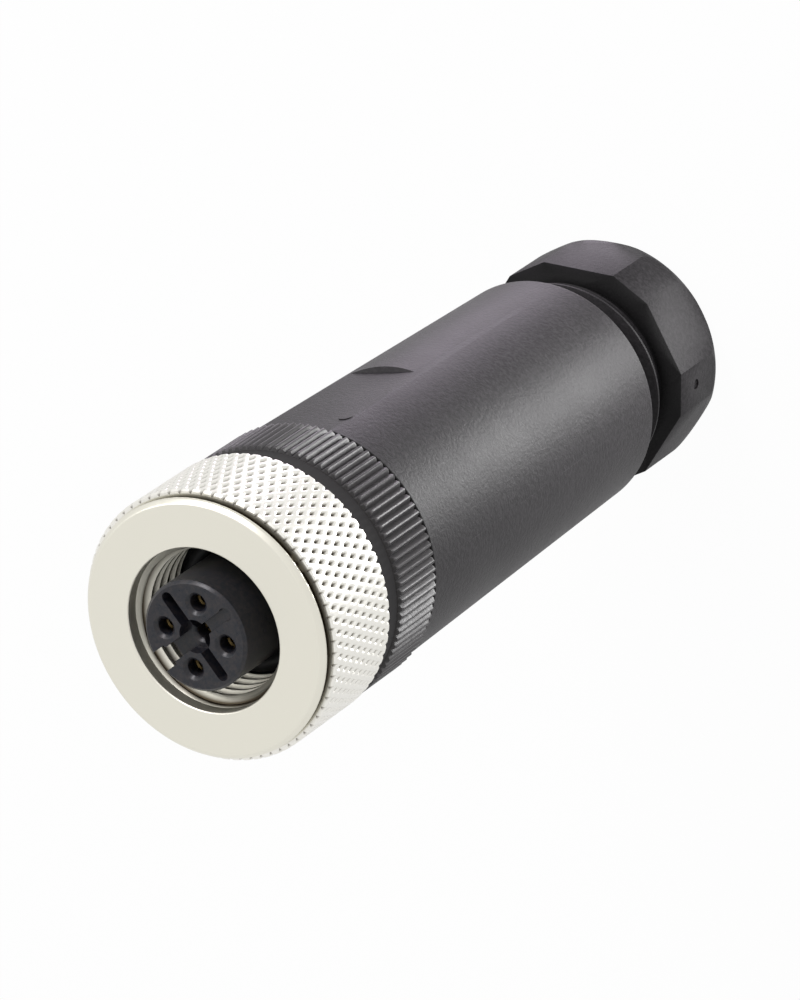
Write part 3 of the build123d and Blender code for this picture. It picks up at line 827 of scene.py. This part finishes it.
def plated(name, base, bright, pit, rough):
    """A plated metal with fine turning marks and matt in the bore, with a painted sheen on the knurl and
    painted shade where it is marked deep.
    """
    pit_shade_start, pit_shade_contrast, bore_matt = 0.2, 1.5, 0.16
    ring_wander, ring_height, fine_height = 3, 0.25, 0.75
    sizes = settings("nut")
    material, graph = new_material(name)
    depth = graph.add("ShaderNodeAttribute", {"attribute_name": "depth"}, None, 2)
    soft = surface_noise(graph, scale=700.0, detail=3.0)
    fine = surface_noise(graph, scale=5200.0, detail=2.0)
    place = graph.parts(graph.add("ShaderNodeTexCoord", None, None, 3))
    radius = (place[0] * place[0] + place[1] * place[1]).root()
    marks = (radius * (2 * pi / sizes.turning_step) + soft * ring_wander).sine() * 0.5 + 0.5
    # Painted shade: places marked deep (knurl pits, groove, thread flanks) turn to the pit colour.
    dark = ((depth - pit_shade_start) * pit_shade_contrast).within()
    # Painted sheen: outside the rim, the knurl takes the lighter knurl colour.
    outside = radius.above(sizes.rim_radius + sizes.edge)
    inside = 1 - radius.above(sizes.mouth_radius)
    colour_now = graph.blend(dark, graph.blend(outside, tuple(base), tuple(bright)), tuple(pit))
    rough_now = uneven(rough, (soft, 0.12), (fine, 0.08)) + inside * bore_matt
    height = marks * ring_height + fine * fine_height
    close_shader(
        graph, {"Metallic": 1.0}, colour_now, rough_now, height, bump=0.12, reach=0.01 * MM
    )
    return material


def plain_metal(name, base, rough):
    """A bright or gold-flashed metal with fine marks."""
    tarnish, tarnish_start = 0.7, 0.35
    material, graph = new_material(name)
    fine = surface_noise(graph, scale=3800.0, detail=3.0)
    soft = surface_noise(graph, scale=500.0, detail=2.0)
    darker = tuple(c * tarnish for c in base)
    colour_now = graph.blend((soft - tarnish_start).within(), tuple(base), darker)
    rough_now = uneven(rough, (fine, 0.15))
    close_shader(
        graph, {"Metallic": 1.0}, colour_now, rough_now, fine, bump=0.1, reach=0.01 * MM
    )
    return material


def rubber(name, base, rough):
    """Smooth dark rubber with a little bloom."""
    bloom, bloom_start = 2.4, 0.5
    material, graph = new_material(name)
    soft = surface_noise(graph, scale=900.0, detail=3.0)
    pale = tuple(c * bloom for c in base)
    colour_now = graph.blend((soft - bloom_start).within(), tuple(base), pale)
    rough_now = uneven(rough, (soft, 0.15))
    close_shader(graph, {}, colour_now, rough_now, soft, bump=0.15, reach=0.03 * MM)
    return material


def finish(name):
    """One of the connector's finishes, made on first use."""
    if name in bpy.data.materials:
        return bpy.data.materials[name]
    tones = settings("finish")
    sleeve, gland = settings("sleeve"), settings("gland")
    sleeve_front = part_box("housing")[1].z
    # Heights above which the mouldings get painted shade, for shade in the gaps between parts.
    sleeve_lip = sleeve_front - 0.9 * sleeve.front_edge
    ribs_front = sleeve_front + settings("collar").rib_length
    head_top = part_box("gland_nut")[0].z + gland.head_length
    head_edge = head_top - 0.5 * gland.edge
    thread_foot = head_top + 0.2 * MM
    makers = {
        "satin_nickel": lambda: plated(name, tones.nickel, tones.knurl, tones.painted_pit_shade, rough=0.34),
        "sleeve_black": lambda: moulded(
            name, tones.sleeve, tones.sleeve_fleck, rough=0.5, gloss=0.22, seam=sleeve.seam_angle,
            # Painted shade on the sleeve's front edge and face, in the gap behind the collar's ribs.
            dark=[(sleeve_lip, 0.95)],
        ),
        "gland_black": lambda: moulded(
            name, tones.sleeve, tones.sleeve_fleck, rough=0.52, gloss=0.22,
            # Painted shade on the gland head's front face and, less of it, on its spigot and thread, in the
            # gap under the sleeve.
            dark=[(head_edge, 0.85), (thread_foot, -0.5)],
        ),
        "collar_black": lambda: moulded(
            name, tones.collar, tones.sleeve_fleck, rough=0.42, grain=3600.0, bump=0.3, gloss=0.5,
            # Painted shade on the collar's flange in front of the ribs, beside the nut.
            dark=[(ribs_front, 0.5)],
        ),
        "nose_black": lambda: moulded(
            name, tones.nose, tones.collar, rough=0.32, grain=3000.0, bump=0.15, gloss=0.36
        ),
        "block_black": lambda: moulded(name, tones.nose, tones.collar, rough=0.45),
        "basket_grey": lambda: moulded(name, tones.basket, tones.sleeve_fleck, rough=0.5),
        "ring_natural": lambda: moulded(name, tones.natural, tones.natural, rough=0.45),
        "contact_gold": lambda: plain_metal(name, tones.gold, rough=0.305),
        "bright_steel": lambda: plain_metal(name, tones.steel, rough=0.325),
        "dark_rubber": lambda: rubber(name, tones.rubber, rough=0.575),
    }
    return makers[name]()


class ConnectorNut(bpy.types.Operator):
    """Makes the knurled coupling nut with its inside thread"""

    bl_idname = "connector.coupling_nut"
    bl_label = "Coupling Nut"

    def execute(self, context):
        s = settings("nut")
        low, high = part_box("coupling_nut")
        tail, face, crest = low.z, high.z, high.x
        back = tail + s.tail_length
        groove_top = face - s.rim_length
        knurl_top = groove_top - s.groove_width
        knurl_ring = crest - s.knurl_depth - s.edge
        thread_top = face - s.counterbore_length
        thread_bottom = tail + s.room_front
        thread_end = s.thread_root + s.edge
        knurl_columns = CELL_COLUMNS * s.knurl_starts
        front = rounded([
            (knurl_ring, knurl_top, 0),
            (s.rim_radius - s.groove_depth, knurl_top, s.edge),
            (s.rim_radius - s.groove_depth, groove_top, s.edge),
            (s.rim_radius, groove_top, s.edge),
            (s.rim_radius, face - (s.rim_radius - s.face_radius), 3 * s.edge),
            (s.face_radius, face, 3 * s.edge),
            (s.mouth_radius, face, s.edge),
            (s.counterbore_radius, face - (s.mouth_radius - s.counterbore_radius), s.edge),
            (s.counterbore_radius, thread_top, 0),
        ])
        rear = rounded([
            (thread_end, thread_bottom, 0),
            (s.room_radius, thread_bottom, s.edge),
            (s.room_radius, tail + s.room_back, s.edge),
            (s.neck_bore, tail + s.room_back, s.edge),
            (s.neck_bore, tail, s.edge),
            (s.tail_radius, tail, 2 * s.edge),
            (s.tail_radius, back, s.edge),
            (knurl_ring, back, 0),
        ])
        piece = open_shells(
            "knurled_nut",
            rings(front[:1], knurl_columns) + rings(front[1:], NUT_COLUMNS),
            rings(rear[:-1], NUT_COLUMNS) + rings(rear[-1:], knurl_columns),
        )
        groove_floor = s.rim_radius - s.groove_depth
        # Painted shade: the groove between rim and knurl is marked deep, so it is drawn in the pit colour.
        mark_painted_shade(piece, lambda place: (
            knurl_top - MERGE_DISTANCE < place.z < groove_top + MERGE_DISTANCE
            and s.counterbore_radius + MM < place.xy.length < groove_floor + s.edge
        ))
        material = finish("satin_nickel")
        give(piece, material)
        knurl_rows = round(CELL_COLUMNS * (knurl_top - back) / (2 * s.knurl_row)) + 2
        add_relief(
            piece, relief("diamond knurl"), material, knurl_columns, knurl_rows, crest=crest,
            depth=s.knurl_depth, start=back, end=knurl_top, row=s.knurl_row, starts=float(s.knurl_starts),
            ridge=s.knurl_ridge, chamfer=s.knurl_chamfer, ring=knurl_ring,
        )
        # The thread's flanks are marked deep, so plated metal draws them with painted shade.
        add_thread(
            piece, material, NUT_COLUMNS, thread_bottom, thread_top, -1, thread_end,
            s.counterbore_radius, crest=s.thread_crest, depth=s.thread_root - s.thread_crest,
            pitch=s.thread_pitch, phase=0.0,
        )
        settle(piece)
        set_piece(piece, material, "coupling_nut", "nickel", "coupling_nut")
        return {"FINISHED"}


class ConnectorCollar(bpy.types.Operator):
    """Makes the ribbed collar with its neck and its threaded end"""

    bl_idname = "connector.grip_collar"
    bl_label = "Grip Collar"

    def execute(self, context):
        s = settings("collar")
        low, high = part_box("grip_collar")
        bottom, neck_end = low.z, high.z
        back = bottom + s.thread_length
        rib_front = back + s.rib_length
        recess_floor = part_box("coupling_nut")[0].z - s.nut_gap
        front = recess_floor + s.recess_depth
        groove_front = back - s.seal_groove_front
        groove_back = groove_front - s.seal_groove_width
        groove_floor = s.thread_crest - s.seal_groove_depth
        thread_ring = s.thread_crest - s.thread_depth
        rib_ring = s.rib_crest - s.rib_bevel
        ring_floor = s.neck_radius - s.ring_groove_depth
        ring_front = neck_end - s.ring_groove_back
        ring_back = ring_front - s.ring_groove_length
        lip_back = neck_end - s.lip_length
        cup_back = lip_back - s.cup_length
        rib_columns = CELL_COLUMNS * s.rib_count
        middle = rounded([
            (thread_ring, groove_back, 0),
            (groove_floor, groove_back, s.edge),
            (groove_floor, groove_front, s.edge),
            (s.thread_crest, groove_front, s.edge),
            (s.thread_crest, back, s.edge),
            (rib_ring, back, 0),
        ])
        rest = rounded([
            (rib_ring, rib_front, 0),
            (s.flange_radius, rib_front, s.edge),
            (s.flange_front, front, 2 * s.edge),
            (s.recess_radius, front, s.edge),
            (s.recess_radius, recess_floor, s.edge),
            (s.neck_radius, recess_floor, s.edge),
            (s.neck_radius, ring_back, s.edge),
            (ring_floor, ring_back, s.edge),
            (ring_floor, ring_front, s.edge),
            (s.neck_radius, ring_front, s.edge),
            (s.neck_radius, neck_end, 2 * s.edge),
            (s.nose_bore, neck_end, s.edge),
            (s.nose_bore, lip_back, s.edge),
            (s.cup_bore, lip_back, s.edge),
            (s.cup_bore, cup_back, s.edge),
            (s.block_bore, cup_back, s.edge),
            (s.block_bore, bottom, s.edge),
            (thread_ring, bottom, 0),
        ])
        piece = open_shells(
            "ribbed_collar",
            rings(middle[:-1], COLLAR_COLUMNS) + rings(middle[-1:], rib_columns),
            rings(rest[:1], rib_columns) + rings(rest[1:], COLLAR_COLUMNS),
        )
        material = finish("collar_black")
        give(piece, material)
        add_relief(
            piece, relief("straight ribs"), material, rib_columns, RIB_ROWS, crest=s.rib_crest,
            depth=s.rib_depth, start=back, end=rib_front, count=float(s.rib_count), ridge=s.rib_ridge,
            bevel=s.rib_bevel, front_slope=s.front_slope, back_slope=s.back_slope,
        )
        add_thread(
            piece, material, COLLAR_COLUMNS, bottom, groove_back, 1, thread_ring, thread_ring,
            crest=s.thread_crest, depth=s.thread_depth, pitch=s.thread_pitch, phase=0.0,
        )
        settle(piece)
        set_piece(piece, material, "collar", "collar_plastic", "grip_collar")
        return {"FINISHED"}


class ConnectorSleeve(bpy.types.Operator):
    """Makes the tapered sleeve with its spanner flats"""

    bl_idname = "connector.sleeve"
    bl_label = "Tapered Sleeve"

    def execute(self, context):
        s = settings("sleeve")
        low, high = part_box("housing")
        rear, front = low.z, high.z
        profile = rounded([
            (s.rear_bore, rear, 0),
            (s.rear_radius, rear, s.rear_edge),
            (s.front_radius, front, s.front_edge),
            (s.front_bore, front, s.flat_edge),
            (s.front_bore, front - s.front_bore_length, 0),
            (s.cavity_radius, front - s.front_bore_length, 0),
            (s.cavity_radius, rear + s.throat_front, 0),
            (s.throat_radius, rear + s.throat_front, 0),
            (s.throat_radius, rear + s.throat_back, 0),
            (s.basket_bore, rear + s.cone_back, 0),
            (s.basket_bore, rear + s.rear_bore_length, 0),
            (s.rear_bore, rear + s.rear_bore_length, 0),
        ], steps=5)
        piece = turned("tapered_sleeve", profile, SLEEVE_COLUMNS)
        flat_place = s.front_radius - s.flat_depth
        for turn in (s.flat_angle, s.flat_angle + pi):
            block = flat_block(
                flat_place, 2 * s.front_radius, front - s.flat_length, front + s.flat_length,
                s.flat_slope, turn,
            )
            combine(piece, block, "DIFFERENCE")
        soften(piece, s.flat_edge, s.edge_limit)
        mark = radial_pin(
            "mark", s.mark_radius, flat_place - s.flat_edge, flat_place + s.mark_height,
            front - s.mark_back, s.flat_angle + pi, -s.mark_aside,
        )
        combine(piece, mark, "UNION")
        set_piece(piece, finish("sleeve_black"), "housing", "housing_plastic", "housing")
        return {"FINISHED"}


class ConnectorGlandNut(bpy.types.Operator):
    """Makes the faceted gland nut with its threaded spigot"""

    bl_idname = "connector.gland_nut"
    bl_label = "Gland Nut"

    def execute(self, context):
        s = settings("gland")
        low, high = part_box("gland_nut")
        rear, end = low.z, high.z
        shoulder = rear + s.head_length
        corners = []
        for facet in range(s.flat_count):
            middle = s.flat_angle + 2 * pi * facet / s.flat_count
            for turn in (middle - s.flat_half_angle, middle + s.flat_half_angle):
                corners.append((s.corner_radius * cos(turn), s.corner_radius * sin(turn)))
        sides = len(corners)
        vertices = [(x, y, rear) for x, y in corners] + [(x, y, shoulder) for x, y in corners]
        faces = [list(range(sides))[::-1], list(range(sides, 2 * sides))]
        faces += [[i, (i + 1) % sides, sides + (i + 1) % sides, sides + i] for i in range(sides)]
        piece = mesh_object("faceted_gland_nut", vertices, faces)
        dome = rounded([
            (0, rear, 0),
            (s.corner_radius, rear, s.rear_round),
            (s.corner_radius, shoulder + MM, 0),
            (0, shoulder + MM, 0),
        ], steps=14)
        combine(piece, turned("dome", dome, SLEEVE_COLUMNS, False), "INTERSECT")
        soften(piece, s.edge, s.edge_limit, steps=3)
        pit = radial_pin(
            "pit", s.pit_radius, s.corner_radius - s.pit_depth, 2 * s.corner_radius, s.pit_height,
            s.pit_angle,
        )
        combine(piece, pit, "DIFFERENCE")
        spigot_ring = s.thread_crest - s.thread_depth
        thread_start = shoulder + s.relief_length
        core = s.cable_bore - MM
        spigot = rounded([
            (spigot_ring, end, 0),
            (core, end, 0),
            (core, shoulder - MM, 0),
            (spigot_ring, shoulder - MM, 0),
            (spigot_ring, thread_start, 0),
        ])
        stem = turned("stem", spigot, SPIGOT_COLUMNS, False)
        material = finish("gland_black")
        add_thread(
            stem, material, SPIGOT_COLUMNS, thread_start, end, 1, spigot_ring, spigot_ring,
            crest=s.thread_crest, depth=s.thread_depth, pitch=s.thread_pitch, phase=s.thread_turn,
        )
        settle(stem)
        combine(piece, stem, "UNION")
        bore = rounded([
            (0, rear - MM, 0),
            (s.cable_bore + s.mouth_round + MM, rear - MM, 0),
            (s.cable_bore, rear + s.mouth_round, 2 * s.edge),
            (s.cable_bore, shoulder, 0),
            (s.spigot_bore, shoulder + (s.spigot_bore - s.cable_bore), 0),
            (s.spigot_bore, end - s.edge, 0),
            (s.spigot_bore + s.edge + MM, end + MM, 0),
            (0, end + MM, 0),
        ])
        combine(piece, turned("bore", bore, SPIGOT_COLUMNS, False), "DIFFERENCE")
        drop_slivers(piece)
        set_piece(piece, material, "gland_nut", "gland_plastic", "gland_nut")
        return {"FINISHED"}


class ConnectorNose(bpy.types.Operator):
    """Makes the contact nose with softly rounded edges"""

    bl_idname = "connector.nose"
    bl_label = "Contact Nose"

    def execute(self, context):
        s = settings("nose")
        piece = bpy.data.objects.new("contact_nose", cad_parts["contact_insert"].data.copy())
        bpy.context.scene.collection.objects.link(piece)
        with edited(piece) as mesh:
            bmesh.ops.remove_doubles(mesh, verts=mesh.verts, dist=MERGE_DISTANCE)
            bmesh.ops.dissolve_limit(
                mesh, angle_limit=s.flat_limit, verts=mesh.verts, edges=mesh.edges
            )
        soften(piece, s.edge, s.edge_limit)
        set_piece(piece, finish("nose_black"), "collar", "insert_plastic", "contact_insert")
        return {"FINISHED"}


class ConnectorInside(bpy.types.Operator):
    """Gives the contacts, seals, rings and other inner pieces their finishes"""

    bl_idname = "connector.inside"
    bl_label = "Inner Pieces"

    def execute(self, context):
        finishes = {
            "contact_gold": ["centre_contact"] + [f"outer_contact_{place}" for place in range(1, 5)],
            "bright_steel": ["retaining_ring", "terminal_screws", "wire_guards", "contact_sleeves"],
            "dark_rubber": ["nose_seal", "collar_seal", "gland_seal"],
            "block_black": ["terminal_block"],
            "ring_natural": ["thrust_ring"],
            "basket_grey": ["clamp_basket"],
        }
        for name, nodes in finishes.items():
            for node in nodes:
                give(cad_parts[node], finish(name))
        return {"FINISHED"}


def background_mask(graph):
    """1 for rays that show the background: straight, mirrored or through glass."""
    light_path = graph.node("ShaderNodeLightPath")
    rays = ("Is Camera Ray", "Is Glossy Ray", "Is Transmission Ray")
    return sum(Value(graph, light_path.outputs[ray]) for ray in rays).within()


def add_lamp(name, matrix, width, length, power, tint):
    """A rectangular lamp that shines along its own -Z and that the camera doesn't see."""
    lamp = bpy.data.lights.new(name, "AREA")
    lamp.shape = "RECTANGLE"
    lamp.size = width
    lamp.size_y = length
    lamp.color = tint
    lamp.energy = power
    holder = bpy.data.objects.new(name, lamp)
    bpy.context.scene.collection.objects.link(holder)
    holder.matrix_world = matrix
    holder.visible_camera = False


class SoftLamp(NamedTuple):
    """A square lamp: level is what a white surface that faces it would show."""

    name: str
    place: tuple
    width: float
    level: float
    tint: tuple


class PanelRow(NamedTuple):
    """Light panels on the floor: the row's heading, half its spread, its light and the light's rise.

    The heading is in degrees from the camera's side of the sleeve towards +Y, and the rise per metre.
    """

    name: str
    heading: float
    half_angle: float
    near: float
    rise: float
    tint: tuple


SOFT_LAMPS = (
    SoftLamp("key", place=(-0.14, -0.30, 0.26), width=0.12, level=0.4, tint=(1.0, 0.96, 1.0)),
    SoftLamp("side", place=(0.066, -0.255, 0.29), width=0.2, level=0.2, tint=(1.0, 1.0, 1.0)),
)
PANEL_ROWS = (
    PanelRow("front_panel", heading=13, half_angle=17, near=1.0, rise=560, tint=(1.0, 1.0, 1.0)),
    PanelRow("side_panel", heading=-91, half_angle=13, near=1.35, rise=130, tint=(1.0, 0.88, 1.04)),
)


class ConnectorStage(bpy.types.Operator):
    """Makes the camera, the pale floor, the lamps and the world"""

    bl_idname = "connector.stage"
    bl_label = "Stage"

    def execute(self, context):
        s = settings("stage")
        self.camera(s)
        self.floor(s)
        self.world(s)
        for lamp in SOFT_LAMPS:
            self.soft_lamp(s, lamp)
        for row in PANEL_ROWS:
            self.panels(s, row)
        context.scene.view_settings.view_transform = "Standard"
        return {"FINISHED"}

    def soft_lamp(self, s, lamp):
        """A lamp from above that shines at the middle of the connector."""
        away = Vector((0, 0, s.lamp_aim)) - Vector(lamp.place)
        turn = away.to_track_quat("-Z", "Y").to_matrix().to_4x4()
        power = lamp.level * pi * pi * away.length_squared
        add_lamp(lamp.name, Matrix.Translation(lamp.place) @ turn, lamp.width, lamp.width, power, lamp.tint)

    def panels(self, s, row):
        """A widening row of light panels that lie on the floor, where the sleeve mirrors them."""
        heading = radians(row.heading)
        ahead = Vector((-cos(heading), sin(heading), 0))
        outward = Vector((-cos(heading / 2), sin(heading / 2), 0))
        down = Vector((0, 0, -1))
        turn = Matrix((ahead.cross(down), ahead, down)).transposed().to_4x4()
        foot = outward * settings("sleeve").rear_radius
        start, length = s.panel_start, s.panel_length
        for step in range(s.panel_count):
            reach = start + length / 2
            width = 2 * reach * tan(radians(row.half_angle)) + s.panel_width
            place = foot + ahead * reach + Vector((0, 0, s.panel_lift))
            power = (row.near + row.rise * reach) * pi * width * length
            add_lamp(f"{row.name}_{step}", Matrix.Translation(place) @ turn, width, length, power, row.tint)
            start += length
            length *= s.panel_growth

    def camera(self, s):
        """The camera at the photograph's angle."""
        data = bpy.data.cameras.new("camera")
        data.lens = s.lens
        data.sensor_width = 36
        data.clip_start = 0.01
        data.clip_end = 10
        holder = bpy.data.objects.new("camera", data)
        bpy.context.scene.collection.objects.link(holder)
        ahead = Vector((cos(s.pitch) * cos(s.heading), cos(s.pitch) * sin(s.heading), sin(s.pitch)))
        level_right = ahead.cross(Vector((0, 0, 1))).normalized()
        level_up = level_right.cross(ahead)
        up = level_up * cos(s.roll) + level_right * sin(s.roll)
        right = ahead.cross(up)
        turn = Matrix((right, up, -ahead)).transposed()
        holder.matrix_world = Matrix.Translation(s.place) @ turn.to_4x4()
        bpy.context.scene.camera = holder

    def floor(self, s):
        """A pale round floor that keeps the connector's shadow."""
        floor = turned("floor", [Vector((s.floor_radius, 0)), Vector((0, 0))], FLOOR_COLUMNS, False)
        material, graph = new_material("floor_white")
        tone = (*settings("finish").floor, 1)
        white = graph.add("ShaderNodeBsdfPrincipled", None, {
            "Base Color": tone, "Roughness": 0.9, "Specular IOR Level": 0.0,
        })
        glow = graph.add("ShaderNodeEmission", None, {"Color": (1, 1, 1, 1), "Strength": 1.0})
        mask = background_mask(graph) * s.background
        shown = graph.add("ShaderNodeMixShader", None, {0: mask, 1: white, 2: glow})
        graph.node("ShaderNodeOutputMaterial", None, {"Surface": shown})
        give(floor, material)

    def world(self, s):
        """Even light from all round, plain white where it shows as background."""
        world = bpy.data.worlds.new("surround")
        world.use_nodes = True
        world.node_tree.nodes.clear()
        graph = Graph(world.node_tree)
        level = background_mask(graph) * (1 - s.ambient) + s.ambient
        glow = graph.add("ShaderNodeBackground", None, {"Color": (1, 1, 1, 1), "Strength": level})
        graph.node("ShaderNodeOutputWorld", None, {"Surface": glow})
        bpy.context.scene.world = world


OPERATORS = (
    ConnectorStage, ConnectorNut, ConnectorCollar, ConnectorSleeve, ConnectorGlandNut, ConnectorNose,
    ConnectorInside,
)


class ConnectorPanel(bpy.types.Panel):
    """Lists the connector's pieces."""

    bl_idname = "VIEW3D_PT_connector"
    bl_label = "M12 Socket Connector"
    bl_space_type = "VIEW_3D"
    bl_region_type = "UI"
    bl_category = "Connector"

    def draw(self, context):
        for operator in OPERATORS:
            self.layout.operator(operator.bl_idname)


def register():
    """Makes the settings, operators and panel known."""
    for name, group in SETTINGS.items():
        bpy.utils.register_class(group)
        setattr(bpy.types.Scene, "connector_" + name, bpy.props.PointerProperty(type=group))
    for operator in OPERATORS:
        bpy.utils.register_class(operator)
    bpy.utils.register_class(ConnectorPanel)


def unregister():
    """Takes them away again."""
    bpy.utils.unregister_class(ConnectorPanel)
    for operator in reversed(OPERATORS):
        bpy.utils.unregister_class(operator)
    for name, group in reversed(SETTINGS.items()):
        delattr(bpy.types.Scene, "connector_" + name)
        bpy.utils.unregister_class(group)


def main():
    """Builds the scene."""
    register()
    for operator in OPERATORS:
        group, name = operator.bl_idname.split(".")
        getattr(getattr(bpy.ops, group), name)()


if __name__ == "__main__":
    main()
